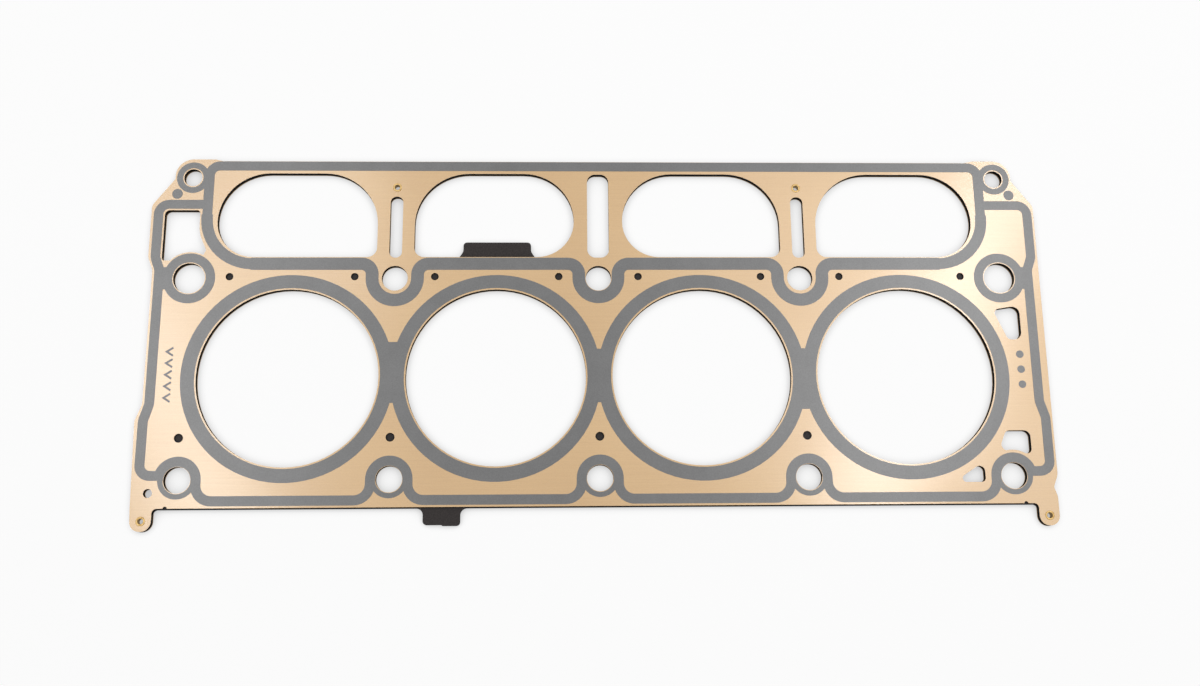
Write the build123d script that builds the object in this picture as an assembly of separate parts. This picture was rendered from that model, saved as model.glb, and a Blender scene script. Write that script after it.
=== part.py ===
from build123d import *
import math
import os

# Cylinder head gasket for one bank of a four-bore engine, lying flat as it does unclamped.
# X runs along the bore line with the front end at -X, +Y points to the side with the large windows,
# and Z is up. The origin is on the underside, midway between bores two and three.

# Stack, from the block side up, in millimetres
SHEET_THICKNESS = 0.25
BEAD_HEIGHT = 0.7
SPACER_THICKNESS = 2.0
PRINT_THICKNESS = 0.08

# Bores
BORE_PITCH = 111.76
BORE_COUNT = 4
BORE_DIAMETER = 97.4
BORE_PRINT_MARGIN = 0.8
BORE_PRINT_WIDTH = 7.4

# Head bolt holes: five columns, an upper row beside the windows and a lower row at the other edge.
# Everything at the two ends is placed from the end column.
END_COLUMN_X = BORE_PITCH * BORE_COUNT / 2
UPPER_ROW_Y = 55.1
LOWER_ROW_Y = -55.1
UPPER_END_X = END_COLUMN_X - 0.02
LOWER_END_X = END_COLUMN_X - 0.92
BOLT_HOLE = 14.1
DOWEL_HOLE = 17.2
DOWEL_PRINT_GAP = 0.45
DOWEL_PRINT_WIDTH = 5.1
DOWEL_BRIDGE_HEIGHT = 12.6
DOWEL_BRIDGE_GAP = 2.0

# Small bolt holes at the two upper corners
CORNER_HOLE = 10.0
CORNER_X = END_COLUMN_X + 1.38
CORNER_Y = 113.2
CORNER_PRINT_GAP = 0.6
CORNER_PRINT_WIDTH = 3.4

# Four large windows: a straight side beside the bolt column and a round side away from it
WINDOW_TOP_Y = 115.9
WINDOW_BOTTOM_Y = 67.2
WINDOW_WEB_HALF = 10.2
WINDOW_CENTRE_GAP = 13.46
WINDOW_REACH = BORE_PITCH - WINDOW_CENTRE_GAP
STRAIGHT_SIDE_RADII = (30.0, 5.5)
ROUND_SIDE_RADII = (28.0, 20.6)

# Slots between the windows
SLOT_BOTTOM_Y = 66.9
SIDE_SLOT_WIDTH = 7.0
SIDE_SLOT_TOP_Y = 102.3
SIDE_SLOT_RADIUS = 3.3
CENTRE_SLOT_WIDTH = 12.0
CENTRE_SLOT_TOP_Y = 115.6
CENTRE_SLOT_RADIUS = 4.6

# Coolant holes that open only the outer sheets
UPPER_STEAM_HOLE = 4.2
UPPER_STEAM_OFFSET = 34.0
UPPER_STEAM_Y = 56.0
LOWER_STEAM_HOLE = 4.8
LOWER_STEAM_Y = -32.8
LOWER_STEAM_END_X = END_COLUMN_X - 0.32

# Front end openings, with x from the front end column
FRONT_DRAIN_HOLE = 4.7
FRONT_DRAIN_PLACE = (-13.78, -61.9)
FRONT_WINDOW = [
    (-15.53, 94.2, 2.8),
    (3.82, 94.2, 2.0),
    (3.82, 81.0, 22.0),
    (8.32, 71.2, 1.2),
    (5.32, 65.2, 0),
    (-15.53, 65.2, 1.6),
]
RING_MARGIN = 0.75

# Rear end openings, upper, lower and the drop below bore four, with x from the rear end column
REAR_UPPER_OPENING = [(-5.32, 37.0, 2.6), (9.78, 39.2, 4.0), (9.78, 19.9, 4.2), (2.18, 19.9, 3.0)]
REAR_LOWER_OPENING = [(-3.52, -30.6, 3.0), (9.78, -30.6, 3.6), (9.78, -43.6, 2.6), (-7.92, -41.0, 3.4)]
REAR_DROP_OPENING = [(-33.72, -58.4, 2.0), (-16.52, -58.4, 2.3), (-16.52, -47.2, 3.0)]

# Outline of the outer sheets
TOP_EDGE_Y = 123.0
CORNER_TOP_Y = 124.0
BOTTOM_EDGE_Y = -69.9
FRONT_EDGE_X = -END_COLUMN_X - 22.88
FRONT_WAIST_X = -END_COLUMN_X - 20.08
REAR_EDGE_X = END_COLUMN_X + 22.68
SHOULDER_Y = 97.0
CORNER_EDGE_X = END_COLUMN_X + 11.18
CORNER_EDGE_Y = 112.4
CORNER_EDGE_RADIUS = 9.6
TOP_STEP_X = END_COLUMN_X - 14.52
TOP_STEP_RUN = 4.0
TOP_STEP_RADIUS = 6.0
SHOULDER_NOOK_RADIUS = 3.0
WAIST_TOP = (60.0, 67.0)
WAIST_BOTTOM = (-14.5, -23.5)
EDGE_NOTCH_X = END_COLUMN_X + 4.28
EDGE_NOTCH_DIAMETER = 2.2
REAR_NOTCH_Y = -61.3
REAR_NOTCH_DEPTH = 2.6
REAR_NOTCH_RADIUS = 3.0
REAR_NOTCH_RUNS = (6.5, 5.0)
REAR_NOTCH_BLEND = 8.0

# Ears with the lower eyelets
EAR_X = END_COLUMN_X + 16.38
EAR_Y = -76.4
EAR_RADIUS = 5.4
EAR_CORNER_RADIUS = 5.35
EAR_FILLET = 2.5
EAR_SIDE_DRAFT = 0.6
EAR_SIDE_BLENDS = (30.0, 4.0)

# Dark spacer plate
PLATE_OVERHANG = 0.6
TAB_ROOT = 2.0
TAB_CORNER_RADIUS = 2.0
WINDOW_TAB_WIDTH = 37.3
WINDOW_TAB_TOP_Y = 75.9
WINDOW_TAB_FOOT = (2.0, 0.4)
WINDOW_TAB_SHOULDER = 3.4
WINDOW_TAB_BLEND = 4.0
LOWER_TAB_WIDTH = 19.6
LOWER_TAB_BOTTOM_Y = -79.2
LOWER_TAB_FOOT = 7.6
LOWER_TAB_BLEND = 3.6
LOWER_TAB_STEP = 0.5
LOWER_TAB_STEP_RADIUS = 0.4

# Printed sealing lines, each drawn along its centre line
WINDOW_LINE_Y = 63.35
WINDOW_LINE_WIDTH = 7.0
SWEEP_LINE_WIDTH = 6.3
FRAME_LINE_X = END_COLUMN_X - 7.62
FRAME_LINE_Y = 120.2
FRAME_LINE_WIDTH = 5.4
FRAME_CORNER_RADIUS = 5.6
FRAME_SWEEP_RADIUS = 26.4
SIDE_LINE_X = END_COLUMN_X + 18.98
SIDE_WAIST_X = END_COLUMN_X + 16.33
SIDE_LINE_TOP_Y = 97.6
SIDE_LINE_BOTTOM_Y = -52.7
SIDE_LINE_WIDTH = 5.2
SIDE_CORNER_RADIUS = 5.6
LOWER_LINE_Y = -66.2
LOWER_LINE_WIDTH = 5.3
LINE_FILLET = 6.0
HUMP_FILLET = 8.5
LINE_OVERLAP = 1.0
COLUMN_DIP_RADIUS = 12.4
CENTRE_DIP_RADIUS = 10.8
HUMP_RADIUS = 9.85
LOWER_RING_PRINT_DIAMETER = 20.2
LOWER_RING_PRINT_GAP = 0.3
WAIST_RADIUS = 7.0
WEB_FILL_WIDTH = 5.0
WEB_FILL_TIPS = {-1: (-14.3, 19.2), 0: (-14.3, 15.2), 1: (-18.4, 15.2)}

# Embossed beads under the printed lines
BEAD_WIDTH = 3.0
BORE_BEAD_DIAMETER = 106.4

# Printed marks
MARK_DOT_DIAMETER = 5.8
MARK_DOT_PLACE = (END_COLUMN_X + 9.48, 103.7)
FRONT_MARK_COUNT = 5
FRONT_MARK_PITCH = 6.3
FRONT_MARK_SIZE = (3.4, 4.4)
FRONT_MARK_STROKE = 1.1
FRONT_MARK_CENTRE_Y = 1.5
SIZE_MARK_OUTSET = 0.5
SIZE_MARK_COUNT = 3
SIZE_MARK_PITCH = 8.4
SIZE_MARK_DIAMETER = 4.2
SIZE_MARK_CENTRE_Y = 3.2

# Tubular eyelets that hold the stack together
EYELET_BORE = 2.9
EYELET_WALL = 0.3
EYELET_HEAD_DIAMETER = 5.0
EYELET_HEAD_THICKNESS = 0.25
EYELET_HEAD_ROLL = 0.15
EYELET_CLEARANCE = 0.05
EYELET_CUP_CLEARANCE = 0.2
UPPER_EYELET_Y = 107.7

# Heights worked out from the stack
SPACER_Z = SHEET_THICKNESS + BEAD_HEIGHT
SPACER_TOP_Z = SPACER_Z + SPACER_THICKNESS
UPPER_SHEET_Z = SPACER_TOP_Z + BEAD_HEIGHT
TOP_Z = UPPER_SHEET_Z + SHEET_THICKNESS

COLUMNS = (-1, 0, 1)
BORE_CENTRES = [(i - (BORE_COUNT - 1) / 2) * BORE_PITCH for i in range(BORE_COUNT)]
UPPER_BOLTS = [i * BORE_PITCH for i in COLUMNS]
LOWER_BOLTS = [-LOWER_END_X, *UPPER_BOLTS, LOWER_END_X]
EYELET_TUBE = EYELET_BORE + 2 * EYELET_WALL
EYELETS = [(-BORE_PITCH, UPPER_EYELET_Y), (BORE_PITCH, UPPER_EYELET_Y), (-EAR_X, EAR_Y), (EAR_X, EAR_Y)]


def rounded_path(corners, closed):
    """Straight runs between corners (x, y, radius), with each corner rounded to its radius."""
    points = [Vector(x, y) for x, y, _ in corners]
    count = len(points)
    entries, exits, arcs = [], [], []
    for i, (point, corner) in enumerate(zip(points, corners)):
        radius = corner[2]
        open_end = not closed and i in (0, count - 1)
        if open_end or radius == 0:
            entries.append(point)
            exits.append(point)
            arcs.append(None)
            continue
        back = (points[i - 1] - point).normalized()
        ahead = (points[(i + 1) % count] - point).normalized()
        half_angle = math.radians(back.get_angle(ahead)) / 2
        setback = radius / math.tan(half_angle)
        centre = point + (back + ahead).normalized() * (radius / math.sin(half_angle))
        middle = centre + (point - centre).normalized() * radius
        entries.append(point + back * setback)
        exits.append(point + ahead * setback)
        arcs.append(ThreePointArc(entries[-1], middle, exits[-1]))
    edges = []
    for i in range(count):
        if arcs[i] is not None:
            edges.append(arcs[i])
        last = i == count - 1
        if last and not closed:
            break
        run_end = entries[(i + 1) % count]
        if (run_end - exits[i]).length > 1e-4:
            edges.append(Line(exits[i], run_end))
    return edges


def plate(corners):
    """Flat face inside a closed run of rounded corners, facing up."""
    face = Face(Wire(rounded_path(corners, closed=True)))
    return face if face.normal_at().Z > 0 else -face


def shifted(corners, distance):
    """The same open run of corners moved sideways, to the left of its direction."""
    points = [Vector(x, y) for x, y, _ in corners]
    headings = [(b - a).normalized() for a, b in zip(points, points[1:])]
    moved = []
    for i, (x, y, radius) in enumerate(corners):
        before = headings[max(i - 1, 0)]
        after = headings[min(i, len(headings) - 1)]
        normals = Vector(-before.Y, before.X) + Vector(-after.Y, after.X)
        reach = distance * 2 / normals.length**2
        turn = before.X * after.Y - before.Y * after.X
        if radius:
            radius -= distance * math.copysign(1, turn)
        moved.append((x + normals.X * reach, y + normals.Y * reach, radius))
    return moved


def ribbon(corners, width):
    """Strip of even width along a centre line, with square ends."""
    return plate(shifted(corners, width / 2) + shifted(corners, -width / 2)[::-1])


def disc(x, y, diameter):
    return Pos(x, y) * Circle(diameter / 2).face()


def ring(x, y, outer, inner):
    return Pos(x, y) * (Circle(outer / 2) - Circle(inner / 2)).face()


def slab(x_min, x_max, y_min, y_max):
    return Pos((x_min + x_max) / 2, (y_min + y_max) / 2) * Rectangle(x_max - x_min, y_max - y_min).face()


def merged(faces):
    return Sketch() + faces


def both_ends(corners):
    """A run of corners and its mirror image at the other end of the gasket."""
    return [corners, [(-x, y, radius) for x, y, radius in corners]]


def raised(area, bottom, top):
    """Solid that stands on an area between two heights."""
    return extrude(Pos(0, 0, bottom) * area, amount=top - bottom)


# Outlines


def outline(bottom_edge_y):
    """Outer edge, from the front ear clockwise as seen from above."""
    ear_inner_x = EAR_X - EAR_RADIUS
    ear_outer_x = EAR_X + EAR_RADIUS
    ear_bottom_y = EAR_Y - EAR_RADIUS
    notch_x = REAR_EDGE_X - REAR_NOTCH_DEPTH
    return plate(
        [
            (-ear_inner_x, bottom_edge_y, EAR_FILLET),
            (-ear_inner_x, ear_bottom_y, EAR_CORNER_RADIUS),
            (-ear_outer_x, ear_bottom_y, EAR_CORNER_RADIUS),
            (-ear_outer_x - EAR_SIDE_DRAFT, BOTTOM_EDGE_Y, EAR_SIDE_BLENDS[0]),
            (FRONT_EDGE_X - EAR_SIDE_DRAFT, WAIST_BOTTOM[1], EAR_SIDE_BLENDS[1]),
            (FRONT_WAIST_X, WAIST_BOTTOM[0], WAIST_RADIUS),
            (FRONT_WAIST_X, WAIST_TOP[0], WAIST_RADIUS),
            (FRONT_EDGE_X, WAIST_TOP[1], WAIST_RADIUS),
            (FRONT_EDGE_X, SHOULDER_Y, SIDE_CORNER_RADIUS),
            (-CORNER_EDGE_X, CORNER_EDGE_Y, SHOULDER_NOOK_RADIUS),
            (-CORNER_EDGE_X, CORNER_TOP_Y, CORNER_EDGE_RADIUS),
            (-TOP_STEP_X - TOP_STEP_RUN, CORNER_TOP_Y, TOP_STEP_RADIUS),
            (-TOP_STEP_X, TOP_EDGE_Y, TOP_STEP_RADIUS),
            (TOP_STEP_X, TOP_EDGE_Y, TOP_STEP_RADIUS),
            (TOP_STEP_X + TOP_STEP_RUN, CORNER_TOP_Y, TOP_STEP_RADIUS),
            (CORNER_EDGE_X, CORNER_TOP_Y, CORNER_EDGE_RADIUS),
            (CORNER_EDGE_X, CORNER_EDGE_Y, SHOULDER_NOOK_RADIUS),
            (REAR_EDGE_X, SHOULDER_Y, SIDE_CORNER_RADIUS),
            (REAR_EDGE_X, REAR_NOTCH_Y + REAR_NOTCH_RUNS[0], REAR_NOTCH_BLEND),
            (notch_x, REAR_NOTCH_Y, REAR_NOTCH_RADIUS),
            (ear_outer_x, REAR_NOTCH_Y - REAR_NOTCH_RUNS[1], REAR_NOTCH_BLEND),
            (ear_outer_x, ear_bottom_y, EAR_CORNER_RADIUS),
            (ear_inner_x, ear_bottom_y, EAR_CORNER_RADIUS),
            (ear_inner_x, bottom_edge_y, EAR_FILLET),
        ]
    )


# Openings


def window(column_x, direction):
    """One large window, straight beside its bolt column and round at its far side."""
    straight_x = column_x + direction * WINDOW_WEB_HALF
    round_x = column_x + direction * WINDOW_REACH
    return plate(
        [
            (straight_x, WINDOW_TOP_Y, STRAIGHT_SIDE_RADII[0]),
            (round_x, WINDOW_TOP_Y, ROUND_SIDE_RADII[0]),
            (round_x, WINDOW_BOTTOM_Y, ROUND_SIDE_RADII[1]),
            (straight_x, WINDOW_BOTTOM_Y, STRAIGHT_SIDE_RADII[1]),
        ]
    )


def slot(x, width, top, radius):
    half = width / 2
    return plate(
        [
            (x - half, SLOT_BOTTOM_Y, radius),
            (x + half, SLOT_BOTTOM_Y, radius),
            (x + half, top, radius),
            (x - half, top, radius),
        ]
    )


def from_end(end):
    """Place of an end column on the bore line: -1 for the front end, 1 for the rear end."""
    return Pos(end * END_COLUMN_X, 0)


def front_window():
    """Opening at the front end, hollowed where the dowel hole's printed ring comes near."""
    dowel_land = DOWEL_HOLE + 2 * (DOWEL_PRINT_GAP + DOWEL_PRINT_WIDTH + RING_MARGIN)
    return from_end(-1) * plate(FRONT_WINDOW) - disc(-UPPER_END_X, UPPER_ROW_Y, dowel_land)


def rear_openings():
    """Three coolant openings at the rear end, fitted round the bore and the bolt hole."""
    bolt_land = 2 * (HUMP_RADIUS + LOWER_LINE_WIDTH / 2 + 2 * RING_MARGIN)
    openings = (REAR_UPPER_OPENING, REAR_LOWER_OPENING, REAR_DROP_OPENING)
    upper, lower, drop = [from_end(1) * plate(corners) for corners in openings]
    return [upper, lower - disc(LOWER_END_X, LOWER_ROW_Y, bolt_land), drop]


def shared_openings():
    """Openings that pass through the whole stack, apart from the eyelet holes."""
    holes = [disc(x, 0, BORE_DIAMETER) for x in BORE_CENTRES]
    holes += [disc(x, UPPER_ROW_Y, BOLT_HOLE) for x in UPPER_BOLTS]
    holes += [disc(x, LOWER_ROW_Y, BOLT_HOLE) for x in LOWER_BOLTS]
    for end in (-1, 1):
        holes.append(disc(end * UPPER_END_X, UPPER_ROW_Y, DOWEL_HOLE))
        holes.append(disc(end * CORNER_X, CORNER_Y, CORNER_HOLE))
        holes.append(slot(end * BORE_PITCH, SIDE_SLOT_WIDTH, SIDE_SLOT_TOP_Y, SIDE_SLOT_RADIUS))
        for direction in (-1, 1):
            holes.append(window(end * BORE_PITCH, direction))
    holes.append(slot(0, CENTRE_SLOT_WIDTH, CENTRE_SLOT_TOP_Y, CENTRE_SLOT_RADIUS))
    holes.append(from_end(-1) * disc(*FRONT_DRAIN_PLACE, FRONT_DRAIN_HOLE))
    holes.append(front_window())
    return holes + rear_openings()


def steam_holes():
    """Small coolant holes in the outer sheets, closed below by the dark spacer plate."""
    holes = []
    for x in BORE_CENTRES:
        for side in (-1, 1):
            holes.append(disc(x + side * UPPER_STEAM_OFFSET, UPPER_STEAM_Y, UPPER_STEAM_HOLE))
    for x in (-LOWER_STEAM_END_X, *UPPER_BOLTS):
        holes.append(disc(x, LOWER_STEAM_Y, LOWER_STEAM_HOLE))
    return holes


def eyelet_holes():
    return [disc(x, y, EYELET_TUBE + 2 * EYELET_CLEARANCE) for x, y in EYELETS]


# Sealing lines


def window_line():
    """Centre line below the windows, which dips round each upper bolt hole."""
    end_x = FRAME_LINE_X - FRAME_SWEEP_RADIUS + LINE_OVERLAP
    corners = [(-end_x, WINDOW_LINE_Y, 0)]
    for x in UPPER_BOLTS:
        dip = COLUMN_DIP_RADIUS if x else CENTRE_DIP_RADIUS
        corners += [
            (x - dip, WINDOW_LINE_Y, LINE_FILLET),
            (x - dip, UPPER_ROW_Y - dip, dip),
            (x + dip, UPPER_ROW_Y - dip, dip),
            (x + dip, WINDOW_LINE_Y, LINE_FILLET),
        ]
    return corners + [(end_x, WINDOW_LINE_Y, 0)]


def sweep_line():
    """Centre line round the lower outer corner of the first window."""
    reach = FRAME_SWEEP_RADIUS + 2 * LINE_OVERLAP
    return [
        (-FRAME_LINE_X, WINDOW_LINE_Y + reach, 0),
        (-FRAME_LINE_X, WINDOW_LINE_Y, FRAME_SWEEP_RADIUS),
        (-FRAME_LINE_X + reach, WINDOW_LINE_Y, 0),
    ]


def frame_line():
    """Centre line beside and above the windows."""
    foot = WINDOW_LINE_Y + FRAME_SWEEP_RADIUS + LINE_OVERLAP
    return [
        (-FRAME_LINE_X, foot, 0),
        (-FRAME_LINE_X, FRAME_LINE_Y, FRAME_CORNER_RADIUS),
        (FRAME_LINE_X, FRAME_LINE_Y, FRAME_CORNER_RADIUS),
        (FRAME_LINE_X, foot, 0),
    ]


def side_line():
    """Centre line down the front end, from the frame line to the last lower bolt hole."""
    return [
        (-FRAME_LINE_X, SIDE_LINE_TOP_Y, 0),
        (-SIDE_LINE_X, SIDE_LINE_TOP_Y, SIDE_CORNER_RADIUS),
        (-SIDE_LINE_X, WAIST_TOP[1], WAIST_RADIUS),
        (-SIDE_WAIST_X, WAIST_TOP[0], WAIST_RADIUS),
        (-SIDE_WAIST_X, WAIST_BOTTOM[0], WAIST_RADIUS),
        (-SIDE_LINE_X, WAIST_BOTTOM[1], WAIST_RADIUS),
        (-SIDE_LINE_X, SIDE_LINE_BOTTOM_Y, SIDE_CORNER_RADIUS),
        (-LOWER_END_X - HUMP_RADIUS + LINE_OVERLAP, SIDE_LINE_BOTTOM_Y, 0),
    ]


def lower_line():
    """Centre line along the lower edge, which humps over each lower bolt hole."""
    corners = []
    for x in LOWER_BOLTS:
        corners += [
            (x - HUMP_RADIUS, LOWER_LINE_Y, HUMP_FILLET),
            (x - HUMP_RADIUS, LOWER_ROW_Y + HUMP_RADIUS, HUMP_RADIUS),
            (x + HUMP_RADIUS, LOWER_ROW_Y + HUMP_RADIUS, HUMP_RADIUS),
            (x + HUMP_RADIUS, LOWER_LINE_Y, HUMP_FILLET),
        ]
    foot = SIDE_LINE_BOTTOM_Y - SIDE_LINE_WIDTH / 2
    first_x = LOWER_BOLTS[0] - HUMP_RADIUS
    last_x = LOWER_BOLTS[-1] + HUMP_RADIUS
    return [(first_x, foot, 0), *corners[1:-1], (last_x, foot, 0)]


SEAL_LINES = [
    (window_line(), WINDOW_LINE_WIDTH),
    (frame_line(), FRAME_LINE_WIDTH),
    (lower_line(), LOWER_LINE_WIDTH),
    *[(corners, SWEEP_LINE_WIDTH) for corners in both_ends(sweep_line())],
    *[(corners, SIDE_LINE_WIDTH) for corners in both_ends(side_line())],
]


def hole_rings():
    """Rings round the dowel holes and corner holes: x, y, middle diameter and printed width."""
    dowel_middle = DOWEL_HOLE + 2 * DOWEL_PRINT_GAP + DOWEL_PRINT_WIDTH
    corner_middle = CORNER_HOLE + 2 * CORNER_PRINT_GAP + CORNER_PRINT_WIDTH
    rings = []
    for end in (-1, 1):
        rings.append((end * UPPER_END_X, UPPER_ROW_Y, dowel_middle, DOWEL_PRINT_WIDTH))
        rings.append((end * CORNER_X, CORNER_Y, corner_middle, CORNER_PRINT_WIDTH))
    return rings


def bead_area(width):
    """Plan of the embossed beads at a given width."""
    strips = [ribbon(corners, width) for corners, _ in SEAL_LINES]
    strips += [ring(x, 0, BORE_BEAD_DIAMETER + width, BORE_BEAD_DIAMETER - width) for x in BORE_CENTRES]
    strips += [ring(x, y, middle + width, middle - width) for x, y, middle, _ in hole_rings()]
    return merged(strips)


def print_area():
    """Plan of the grey print: the sealing lines, the bore rings and the fills between them."""
    inner = BORE_DIAMETER + 2 * BORE_PRINT_MARGIN
    strips = [ribbon(corners, width) for corners, width in SEAL_LINES]
    strips += [disc(x, 0, inner + 2 * BORE_PRINT_WIDTH) for x in BORE_CENTRES]
    strips += [ring(x, y, middle + width, middle - width) for x, y, middle, width in hole_rings()]
    lower_gap = BOLT_HOLE + 2 * LOWER_RING_PRINT_GAP
    strips += [ring(x, LOWER_ROW_Y, LOWER_RING_PRINT_DIAMETER, lower_gap) for x in LOWER_BOLTS]
    for column in COLUMNS:
        low, high = WEB_FILL_TIPS[column]
        half = WEB_FILL_WIDTH / 2
        strips.append(slab(column * BORE_PITCH - half, column * BORE_PITCH + half, low, high))
    bridge_inner = UPPER_END_X + DOWEL_HOLE / 2 + DOWEL_BRIDGE_GAP
    for end in (-1, 1):
        near, far = sorted((end * bridge_inner, end * SIDE_WAIST_X))
        half = DOWEL_BRIDGE_HEIGHT / 2
        strips.append(slab(near, far, UPPER_ROW_Y - half, UPPER_ROW_Y + half))
    return merged(strips) - [disc(x, 0, inner) for x in BORE_CENTRES]


# Pieces


def formed_sheet_area():
    """Plan of an outer sheet with every opening except the eyelet holes."""
    notches = [disc(end * EDGE_NOTCH_X, BOTTOM_EDGE_Y, EDGE_NOTCH_DIAMETER) for end in (-1, 1)]
    return outline(BOTTOM_EDGE_Y) - shared_openings() - steam_holes() - notches


def lower_sheet(area, beads, grooves):
    """Block-side sheet: beads and eyelet cups pressed up until they meet the spacer plate."""
    well_diameter = EYELET_HEAD_DIAMETER + 2 * EYELET_CUP_CLEARANCE
    wells = [disc(x, y, well_diameter) for x, y in EYELETS]
    cups = [disc(x, y, well_diameter + 2 * SHEET_THICKNESS) for x, y in EYELETS]
    sheet = raised(area, 0, SHEET_THICKNESS)
    sheet += raised(merged([beads, *cups]), SHEET_THICKNESS / 2, SPACER_Z)
    sheet -= raised(merged([grooves, *wells]), 0, SPACER_Z - SHEET_THICKNESS)
    return sheet - raised(merged(eyelet_holes()), 0, SPACER_Z)


def upper_sheet(area, beads, grooves):
    """Head-side sheet: beads pressed down until they meet the spacer plate."""
    floor = UPPER_SHEET_Z - BEAD_HEIGHT
    sheet = raised(area, UPPER_SHEET_Z, TOP_Z)
    sheet += raised(beads, floor, TOP_Z - SHEET_THICKNESS / 2)
    sheet -= raised(grooves, floor + SHEET_THICKNESS, TOP_Z)
    return sheet - raised(merged(eyelet_holes()), UPPER_SHEET_Z, TOP_Z)


def window_tab():
    """Tab that stands into the second window, on the bore's centre line."""
    x = BORE_CENTRES[1]
    half = WINDOW_TAB_WIDTH / 2
    foot_x = half + WINDOW_TAB_FOOT[0]
    foot_y = WINDOW_BOTTOM_Y + WINDOW_TAB_FOOT[1]
    root = WINDOW_BOTTOM_Y - TAB_ROOT
    shoulder = WINDOW_BOTTOM_Y + WINDOW_TAB_SHOULDER
    return plate(
        [
            (x - foot_x, root, 0),
            (x - foot_x, foot_y, 0),
            (x - half, shoulder, WINDOW_TAB_BLEND),
            (x - half, WINDOW_TAB_TOP_Y, TAB_CORNER_RADIUS),
            (x + half, WINDOW_TAB_TOP_Y, TAB_CORNER_RADIUS),
            (x + half, shoulder, WINDOW_TAB_BLEND),
            (x + foot_x, foot_y, 0),
            (x + foot_x, root, 0),
        ]
    )


def lower_tab():
    """Tab below the lower edge, between bore two and the bolt column."""
    x = (BORE_CENTRES[1] - BORE_PITCH) / 2
    half = LOWER_TAB_WIDTH / 2
    foot = half + LOWER_TAB_FOOT
    edge = BOTTOM_EDGE_Y - PLATE_OVERHANG
    stepped_y = LOWER_TAB_BOTTOM_Y - LOWER_TAB_STEP
    return plate(
        [
            (x - foot, edge + TAB_ROOT, 0),
            (x - foot, edge, 0),
            (x - half, edge, LOWER_TAB_BLEND),
            (x - half, LOWER_TAB_BOTTOM_Y, TAB_CORNER_RADIUS),
            (x, LOWER_TAB_BOTTOM_Y, LOWER_TAB_STEP_RADIUS),
            (x + LOWER_TAB_STEP, stepped_y, LOWER_TAB_STEP_RADIUS),
            (x + half, stepped_y, TAB_CORNER_RADIUS),
            (x + half, edge, LOWER_TAB_BLEND),
            (x + foot, edge, 0),
            (x + foot, edge + TAB_ROOT, 0),
        ]
    )


def spacer_plate():
    """Thick dark plate that sets the gasket's thickness and stands out a little at the lower edge."""
    area = outline(BOTTOM_EDGE_Y - PLATE_OVERHANG) - shared_openings() - eyelet_holes()
    return raised(area + [window_tab(), lower_tab()], SPACER_Z, SPACER_TOP_Z)


def upper_print(printed, grooves):
    """Grey sealing print: a film on the head-side sheet that also fills its bead grooves."""
    film = raised(printed, TOP_Z, TOP_Z + PRINT_THICKNESS)
    return film + raised(grooves, UPPER_SHEET_Z - BEAD_HEIGHT + SHEET_THICKNESS, TOP_Z)


def lower_print(grooves):
    """Grey sealing compound that fills the block-side bead grooves flush."""
    return raised(grooves, 0, SPACER_Z - SHEET_THICKNESS)


def eyelet(x, y):
    """Tubular eyelet, headed over the head-side sheet and inside the block-side cup."""
    bore = EYELET_BORE / 2
    tube = EYELET_TUBE / 2
    head = EYELET_HEAD_DIAMETER / 2
    low = SPACER_Z - SHEET_THICKNESS
    roll = EYELET_HEAD_ROLL
    profile = Polyline(
        (bore, low - EYELET_HEAD_THICKNESS),
        (head, low - EYELET_HEAD_THICKNESS),
        (head, low),
        (tube, low),
        (tube, TOP_Z),
        (head, TOP_Z),
        (head, TOP_Z + EYELET_HEAD_THICKNESS - roll),
        (head - roll, TOP_Z + EYELET_HEAD_THICKNESS),
        (bore + roll, TOP_Z + EYELET_HEAD_THICKNESS),
        (bore, TOP_Z + EYELET_HEAD_THICKNESS - roll),
        close=True,
    )
    section = Plane.XZ * make_face(profile.edges())
    return Pos(x, y) * revolve(section, Axis.Z)


def on_print_plane(area):
    """A printed mark on the head-side sheet."""
    return raised(area, TOP_Z, TOP_Z + PRINT_THICKNESS)


def corner_dot(end):
    """Round mark beside a corner hole."""
    return on_print_plane(disc(end * MARK_DOT_PLACE[0], MARK_DOT_PLACE[1], MARK_DOT_DIAMETER))


def bare_strip_x():
    """Middle of the bare strip between the last bore's printed ring and the side line."""
    ring_edge = BORE_CENTRES[-1] + BORE_DIAMETER / 2 + BORE_PRINT_MARGIN + BORE_PRINT_WIDTH
    line_edge = SIDE_WAIST_X - SIDE_LINE_WIDTH / 2
    return (ring_edge + line_edge) / 2


def front_marks():
    """Row of plain chevrons that point to the front end."""
    length, height = FRONT_MARK_SIZE
    foot = -bare_strip_x() + length / 2
    tip = foot - length
    first_y = FRONT_MARK_CENTRE_Y - FRONT_MARK_PITCH * (FRONT_MARK_COUNT - 1) / 2
    marks = []
    for i in range(FRONT_MARK_COUNT):
        y = first_y + i * FRONT_MARK_PITCH
        chevron = [(foot, y - height / 2, 0), (tip, y, 0), (foot, y + height / 2, 0)]
        marks.append(on_print_plane(ribbon(chevron, FRONT_MARK_STROKE)))
    return Compound(children=marks)


def size_marks():
    """Three plain dots at the rear end."""
    x = bare_strip_x() + SIZE_MARK_OUTSET
    first_y = SIZE_MARK_CENTRE_Y - SIZE_MARK_PITCH * (SIZE_MARK_COUNT - 1) / 2
    places = [first_y + i * SIZE_MARK_PITCH for i in range(SIZE_MARK_COUNT)]
    return Compound(children=[on_print_plane(disc(x, y, SIZE_MARK_DIAMETER)) for y in places])


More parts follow.
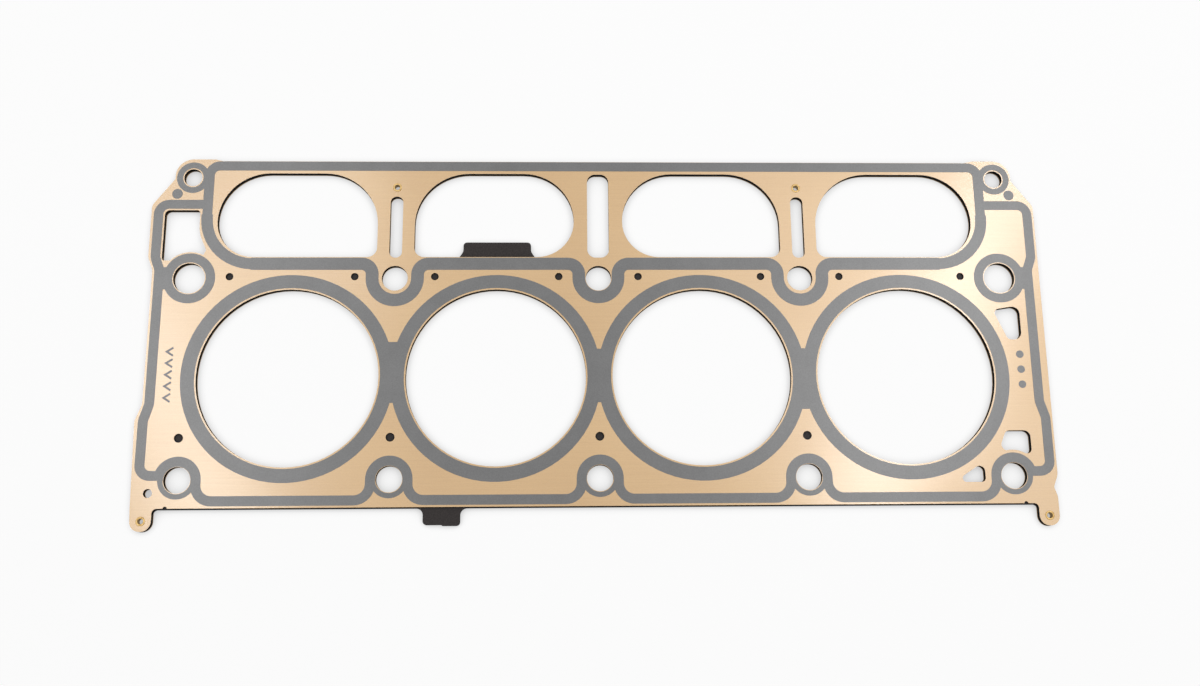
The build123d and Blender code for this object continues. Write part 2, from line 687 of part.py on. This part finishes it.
def build_pieces():
    """Every piece of the gasket under its own name."""
    area = formed_sheet_area()
    beads = bead_area(BEAD_WIDTH)
    grooves = bead_area(BEAD_WIDTH - 2 * SHEET_THICKNESS)
    pieces = {
        "lower_print": lower_print(grooves),
        "lower_sheet": lower_sheet(area, beads, grooves),
        "spacer_plate": spacer_plate(),
        "upper_sheet": upper_sheet(area, beads, grooves),
        "upper_print": upper_print(print_area(), grooves),
        "corner_dot_front": corner_dot(-1),
        "corner_dot_rear": corner_dot(1),
        "front_marks": front_marks(),
        "size_marks": size_marks(),
    }
    for number, (x, y) in enumerate(EYELETS, 1):
        pieces[f"eyelet_{number}"] = eyelet(x, y)
    return pieces


os.makedirs("parts", exist_ok=True)
for name, piece in build_pieces().items():
    export_step(piece, f"parts/{name}.step")
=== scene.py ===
import bpy
import math
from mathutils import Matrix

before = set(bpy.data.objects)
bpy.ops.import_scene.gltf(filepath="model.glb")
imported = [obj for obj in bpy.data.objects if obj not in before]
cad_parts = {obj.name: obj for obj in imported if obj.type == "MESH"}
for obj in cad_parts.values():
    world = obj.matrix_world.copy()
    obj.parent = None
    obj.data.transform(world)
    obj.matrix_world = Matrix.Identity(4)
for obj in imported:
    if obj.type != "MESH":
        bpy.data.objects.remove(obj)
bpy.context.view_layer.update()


# The two formed sheets
#
# Thin spring steel strip, lacquered gold on both sides, then cut and pressed with the beads and
# the cups for the eyelets. One sheet lies on each side of the spacer plate, its beads turned in,
# and the eyelets hold the stack together.

def linear(hex_colour):
    """The linear colour of an sRGB hex value."""
    channels = [int(hex_colour[i:i + 2], 16) / 255 for i in (1, 3, 5)]
    return [c / 12.92 if c <= 0.04045 else ((c + 0.055) / 1.055) ** 2.4 for c in channels] + [1.0]


def new_material(name, own):
    """A material and its shader, with these values on the shader's own sockets."""
    material = bpy.data.materials.new(name)
    material.use_nodes = True
    shader = material.node_tree.nodes["Principled BSDF"]
    for socket, value in own.items():
        shader.inputs[socket].default_value = value
    return material, shader


def feed(node, links):
    """Links outputs into a node: the input, then the source node and its output."""
    for socket, (source, output) in links.items():
        node.id_data.links.new(source.outputs[output], node.inputs[socket])


def add(owner, kind, settings=None, links=None):
    """Adds one node with its settings and links. Inputs that share a name go by their number."""
    node = owner.node_tree.nodes.new(kind)
    for name, value in (settings or {}).items():
        if isinstance(name, int) or name in node.inputs:
            node.inputs[name].default_value = value
        else:
            setattr(node, name, value)
    feed(node, links or {})
    return node


def wear(names, material):
    """Puts a material on the CAD nodes with these names, through their objects' own slots."""
    for name in names:
        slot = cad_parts[name].material_slots[0]
        slot.link = "OBJECT"
        slot.material = material


# Clear gold-tinted lacquer over rolled steel. The eye sees a warm satin sheen that mirrors the
# lamps softly, with faint streaks along the gasket. The hex value and roughness are the means.
gold_sheet, shader = new_material("Gold lacquered spring steel, satin", {
    "Base Color": linear("#C9A26C"), "Roughness": 0.42, "Metallic": 0.1,
    "Coat Weight": 1.0, "Coat Roughness": 0.2, "Coat IOR": 1.6})
place = add(gold_sheet, "ShaderNodeNewGeometry")

# A pattern's scale is this over the size in mm of one of its marks
mm_per_metre = 1000

# Rolling marks, finer on the real strip, drawn 0.35 mm apart so that they show
mark_length, mark_pitch, mark_depth = 25, 0.35, 2.5
stretch = add(gold_sheet, "ShaderNodeMapping",
              {"Scale": (mm_per_metre / mark_length, mm_per_metre / mark_pitch, mm_per_metre / mark_depth)},
              {"Vector": (place, "Position")})
rolling = add(gold_sheet, "ShaderNodeTexNoise", {"Scale": 1.0, "Detail": 3.0},
              {"Vector": (stretch, "Vector")})

# Grain of the lacquer, finer on the real sheet, drawn 0.5 mm wide so that it shows
grain_width = 0.5
grain = add(gold_sheet, "ShaderNodeTexNoise", {"Scale": mm_per_metre / grain_width, "Detail": 2.0},
            {"Vector": (place, "Position")})

# Slow change of the lacquer's thickness
film_width = 60
film = add(gold_sheet, "ShaderNodeTexNoise", {"Scale": mm_per_metre / film_width, "Detail": 1.0},
           {"Vector": (place, "Position")})

# Half rolling marks and half grain, with about a third of the film's change over both
marks = add(gold_sheet, "ShaderNodeMix", {"data_type": "FLOAT", "Factor": 0.5},
            {"A": (rolling, "Fac"), "B": (grain, "Fac")})
tone = add(gold_sheet, "ShaderNodeMix", {"data_type": "FLOAT", "Factor": 0.35},
           {"A": (marks, "Result"), "B": (film, "Fac")})
shade = add(gold_sheet, "ShaderNodeValToRGB", links={"Fac": (tone, "Result")})
thick_gold, thin_gold = shade.color_ramp.elements
thick_gold.position, thick_gold.color = 0.36, linear("#C29A63")
thin_gold.position, thin_gold.color = 0.64, linear("#CFA972")

# The marks change the sheen a little. Most of a noise's values lie between these two
noise_low, noise_high = 0.3, 0.7
rough = add(gold_sheet, "ShaderNodeMapRange",
            {"From Min": noise_low, "From Max": noise_high, "To Min": 0.38, "To Max": 0.47},
            {"Value": (rolling, "Fac")})

# Depth in metres of the marks and the grain
mark_relief = 0.00002
relief = add(gold_sheet, "ShaderNodeBump", {"Strength": 0.12, "Distance": mark_relief},
             {"Height": (marks, "Result")})
feed(shader, {"Base Color": (shade, "Color"), "Roughness": (rough, "Result"),
              "Normal": (relief, "Normal")})
wear(["upper_sheet", "lower_sheet"], gold_sheet)


# The spacer plate
#
# Thick cold-rolled steel, sheared with the same openings as the sheets and then phosphated dark.
# It shows at the walls of the openings, at its two tabs and in the small coolant holes, and is
# held between the sheets by the eyelets.

# Phosphate over steel. The eye sees a nearly black, slightly brown face with hardly any shine.
dark_plate, shader = new_material("Phosphated cold-rolled steel, dark", {
    "Base Color": linear("#2E2C2C"), "Roughness": 0.45, "Specular IOR Level": 0.12})
place = add(dark_plate, "ShaderNodeNewGeometry")

# Phosphate crystals, far finer on the real plate, drawn 0.7 mm wide so that they show
crystal_width = 0.7
crystals = add(dark_plate, "ShaderNodeTexNoise", {"Scale": mm_per_metre / crystal_width, "Detail": 3.0},
               {"Vector": (place, "Position")})
shade = add(dark_plate, "ShaderNodeValToRGB", links={"Fac": (crystals, "Fac")})
dark_crystal, light_crystal = shade.color_ramp.elements
dark_crystal.position, dark_crystal.color = 0.35, linear("#2C2827")
light_crystal.position, light_crystal.color = 0.65, linear("#3A3534")

# A Mix node's sockets for colours, by number because their names repeat
FACTOR, FIRST, SECOND, MIXED = 0, 6, 7, 2

# The sheared walls of the openings are torn and without gloss. Their colour, blacker than the faces, is
# painted shade for walls that turn away from the light
upright = add(dark_plate, "ShaderNodeSeparateXYZ", links={"Vector": (place, "True Normal")})
flat = add(dark_plate, "ShaderNodeMath", {"operation": "ABSOLUTE"}, {0: (upright, "Z")})
painted_shade_wall_black = linear("#0E0D0D")
walls_with_painted_shade = add(dark_plate, "ShaderNodeMix", {"data_type": "RGBA", FIRST: painted_shade_wall_black},
           {FACTOR: (flat, "Value"), SECOND: (shade, "Color")})

# Painted shade: the plate is darkened to nearly black where little open space lies within reach, as in the
# corners at the bottom of the small coolant holes
painted_shade_reach = 0.004
painted_shade_black = linear("#080707")
painted_shade_sky = add(dark_plate, "ShaderNodeAmbientOcclusion", {"Distance": painted_shade_reach, "samples": 8})
corner = add(dark_plate, "ShaderNodeMapRange", {"From Min": 0.6, "From Max": 0.95},
             {"Value": (painted_shade_sky, "AO")})
plate_with_painted_shade = add(dark_plate, "ShaderNodeMix", {"data_type": "RGBA", FIRST: painted_shade_black},
             {FACTOR: (corner, "Result"), SECOND: (walls_with_painted_shade, MIXED)})

wall_roughness, face_roughness = 1.0, 0.45
torn = add(dark_plate, "ShaderNodeMapRange", {"To Min": wall_roughness, "To Max": face_roughness},
           {"Value": (flat, "Value")})

# Height in metres of the crystals
crystal_relief = 0.00003
relief = add(dark_plate, "ShaderNodeBump", {"Strength": 0.15, "Distance": crystal_relief},
             {"Height": (crystals, "Fac")})
feed(shader, {"Base Color": (plate_with_painted_shade, MIXED), "Roughness": (torn, "Result"),
              "Normal": (relief, "Normal")})
wear(["spacer_plate"], dark_plate)


# The sealing print and the printed marks
#
# Grey rubber sealant. On the head side it is screen-printed in lines over the beads, with the
# dots and marks in the same pass, and on the block side it fills the grooves of the beads.

# Filled rubber, dried on the sheet. The eye sees an even middle grey, with a soft low sheen and a
# faint mottle from the mesh of the screen.
grey_print, shader = new_material("Screen-printed rubber sealant, matt grey", {
    "Base Color": linear("#6F6F6F"), "Roughness": 0.32, "IOR": 1.5})
place = add(grey_print, "ShaderNodeNewGeometry")

# Mesh of the screen, finer on the real print, drawn 0.6 mm wide so that it shows
mesh_width = 0.6
mesh = add(grey_print, "ShaderNodeTexNoise", {"Scale": mm_per_metre / mesh_width, "Detail": 2.0},
           {"Vector": (place, "Position")})

# Slow mottle where the squeegee left more or less
mottle_width = 12
mottle = add(grey_print, "ShaderNodeTexNoise", {"Scale": mm_per_metre / mottle_width, "Detail": 2.0},
             {"Vector": (place, "Position")})
tone = add(grey_print, "ShaderNodeMix", {"data_type": "FLOAT", "Factor": 0.4},
           {"A": (mesh, "Fac"), "B": (mottle, "Fac")})
shade = add(grey_print, "ShaderNodeValToRGB", links={"Fac": (tone, "Result")})
dark_grey, light_grey = shade.color_ramp.elements
dark_grey.position, dark_grey.color = 0.36, linear("#696969")
light_grey.position, light_grey.color = 0.64, linear("#757575")

# Height in metres of the mesh's trace
mesh_relief = 0.00003
relief = add(grey_print, "ShaderNodeBump", {"Strength": 0.2, "Distance": mesh_relief},
             {"Height": (mesh, "Fac")})
feed(shader, {"Base Color": (shade, "Color"), "Normal": (relief, "Normal")})
wear(["upper_print", "lower_print", "corner_dot_front", "corner_dot_rear", "front_marks", "size_marks"],
     grey_print)


# The eyelets
#
# Four tubular brass eyelets, drawn from sheet, put through the stack and rolled over at both
# ends. They hold the sheets and the plate together until the engine is assembled.

# Bare brass that has dulled. The eye sees a small soft golden ring, a little deeper than the sheet.
brass, shader = new_material("Drawn brass, dull", {
    "Base Color": linear("#BE9C62"), "Roughness": 0.5, "Metallic": 1.0})
place = add(brass, "ShaderNodeNewGeometry")

# Tool marks round the head, finer on the real eyelet, drawn 0.4 mm wide so that they show
scuff_width = 0.4
scuffs = add(brass, "ShaderNodeTexNoise", {"Scale": mm_per_metre / scuff_width, "Detail": 2.0},
             {"Vector": (place, "Position")})

# Tarnish in patches
tarnish_width = 1.5
tarnish = add(brass, "ShaderNodeTexNoise", {"Scale": mm_per_metre / tarnish_width, "Detail": 2.0},
              {"Vector": (place, "Position")})
shade = add(brass, "ShaderNodeValToRGB", links={"Fac": (tarnish, "Fac")})
tarnished, clean = shade.color_ramp.elements
tarnished.position, tarnished.color = 0.38, linear("#94794C")
clean.position, clean.color = 0.62, linear("#B39766")
rough = add(brass, "ShaderNodeMapRange",
            {"From Min": noise_low, "From Max": noise_high, "To Min": 0.42, "To Max": 0.6},
            {"Value": (scuffs, "Fac")})
feed(shader, {"Base Color": (shade, "Color"), "Roughness": (rough, "Result")})
wear([f"eyelet_{number}" for number in (1, 2, 3, 4)], brass)


# The table top
#
# A wide sheet of matt white laminate that the gasket lies on. It reaches so far that its edges
# stay out of the camera's picture. It is set a hair below the gasket, so that no two faces meet.
# Sizes in metres.

half = 4.0
below_gasket = 0.0001
floor_mesh = bpy.data.meshes.new("Table top")
floor_mesh.from_pydata([(-half, -half, 0), (half, -half, 0), (half, half, 0), (-half, half, 0)],
                       [], [(0, 1, 2, 3)])
floor = bpy.data.objects.new("table_top", floor_mesh)
bpy.context.scene.collection.objects.link(floor)
floor.location.z = -below_gasket

# Laminate with no gloss. The eye sees plain white that keeps the gasket's soft shadow.
white_table, shader = new_material("Matt white laminate", {
    "Base Color": linear("#FCFCFC"), "Roughness": 0.8})


def seen_outright(owner):
    """A node that gives 1 to the rays that show a thing itself, straight on or in a reflection."""
    ray = add(owner, "ShaderNodeLightPath")
    eye = add(owner, "ShaderNodeMath", {"operation": "MAXIMUM"},
              {0: (ray, "Is Camera Ray"), 1: (ray, "Is Glossy Ray")})
    return add(owner, "ShaderNodeMath", {"operation": "MAXIMUM"},
               {0: (eye, "Value"), 1: (ray, "Is Transmission Ray")})


# How much of the table is its own white, and how much is what the lamps make of it
own_white = 0.88
share = add(white_table, "ShaderNodeMath", {"operation": "MULTIPLY", 1: own_white},
            {0: (seen_outright(white_table), "Value")})

# The white of the room reaches less far into the openings and close to the edges
shade_reach, deepest_shade = 0.012, 0.55
open_sky = add(white_table, "ShaderNodeAmbientOcclusion", {"Distance": shade_reach})
reach = add(white_table, "ShaderNodeMapRange",
            {"From Min": 0.2, "From Max": 0.85, "To Min": deepest_shade, "To Max": 1.0},
            {"Value": (open_sky, "AO")})
glow = add(white_table, "ShaderNodeEmission", links={"Strength": (reach, "Result")})
lit = add(white_table, "ShaderNodeMixShader",
          links={0: (share, "Value"), 1: (shader, "BSDF"), 2: (glow, "Emission")})
feed(white_table.node_tree.nodes["Material Output"], {"Surface": (lit, "Shader")})
floor_mesh.materials.append(white_table)


# The room
#
# A white studio room. It is plain white to the eye and in the gasket's reflections, and gives
# next to no light of its own.

world = bpy.data.worlds.new("White room")
bpy.context.scene.world = world
world.use_nodes = True
room = world.node_tree.nodes["Background"]
room.inputs["Color"].default_value = linear("#FFFFFF")
light_given, white_seen = 0.05, 1.0
level = add(world, "ShaderNodeMapRange", {"To Min": light_given, "To Max": white_seen},
            {"Value": (seen_outright(world), "Value")})
feed(room, {"Strength": (level, "Result")})


# The lamps
#
# Soft studio panels that face straight down: a wide one at the ceiling, a strip over each end of
# the gasket, and three smaller fills beside them. The sheets mirror them as their pale bands.

def soft_lamp(name, place, size, yaw, radiance):
    """A flat lamp of this size in metres, turned by yaw degrees; its power follows its brightness."""
    data = bpy.data.lights.new(name, "AREA")
    data.shape = "RECTANGLE"
    data.size, data.size_y = size
    data.energy = radiance * math.pi * size[0] * size[1]
    lamp = bpy.data.objects.new(name, data)
    bpy.context.scene.collection.objects.link(lamp)
    lamp.location = place
    lamp.rotation_euler.z = math.radians(yaw)


soft_lamp("Ceiling panel", place=(0.0, 0.1, 1.7), size=(2.6, 2.6), yaw=0, radiance=0.58)
soft_lamp("Left strip", place=(-0.54, 0.11, 1.0), size=(0.14, 0.5), yaw=24, radiance=9.5)
soft_lamp("Right strip", place=(0.52, 0.27, 1.0), size=(0.12, 0.66), yaw=-27, radiance=14.0)
soft_lamp("Left fill", place=(-0.49, 0.43, 1.0), size=(0.42, 0.36), yaw=0, radiance=3.2)
soft_lamp("Right fill", place=(0.36, 0.35, 1.0), size=(0.4, 0.5), yaw=0, radiance=1.5)
soft_lamp("Low right fill", place=(0.66, 0.02, 1.0), size=(0.24, 0.3), yaw=0, radiance=1.8)


# The camera
#
# It stands above the gasket's lower edge and looks down at a slight slant. Its place, turn and
# focal length were worked out from the bores and bolt holes in the picture.

focal_length_px, image_width_px, sensor_mm = 1194.08, 1200, 36.0
camera_data = bpy.data.cameras.new("Camera")
camera = bpy.data.objects.new("Camera", camera_data)
bpy.context.scene.collection.objects.link(camera)
camera.location = (-0.02043, -0.12576, 0.63798)
camera.rotation_euler = (0.22371, -0.03097, -0.00922)
camera_data.sensor_width = sensor_mm
camera_data.lens = focal_length_px / image_width_px * sensor_mm
camera_data.clip_start = 0.01
bpy.context.scene.camera = camera
bpy.context.scene.view_settings.view_transform = "Standard"
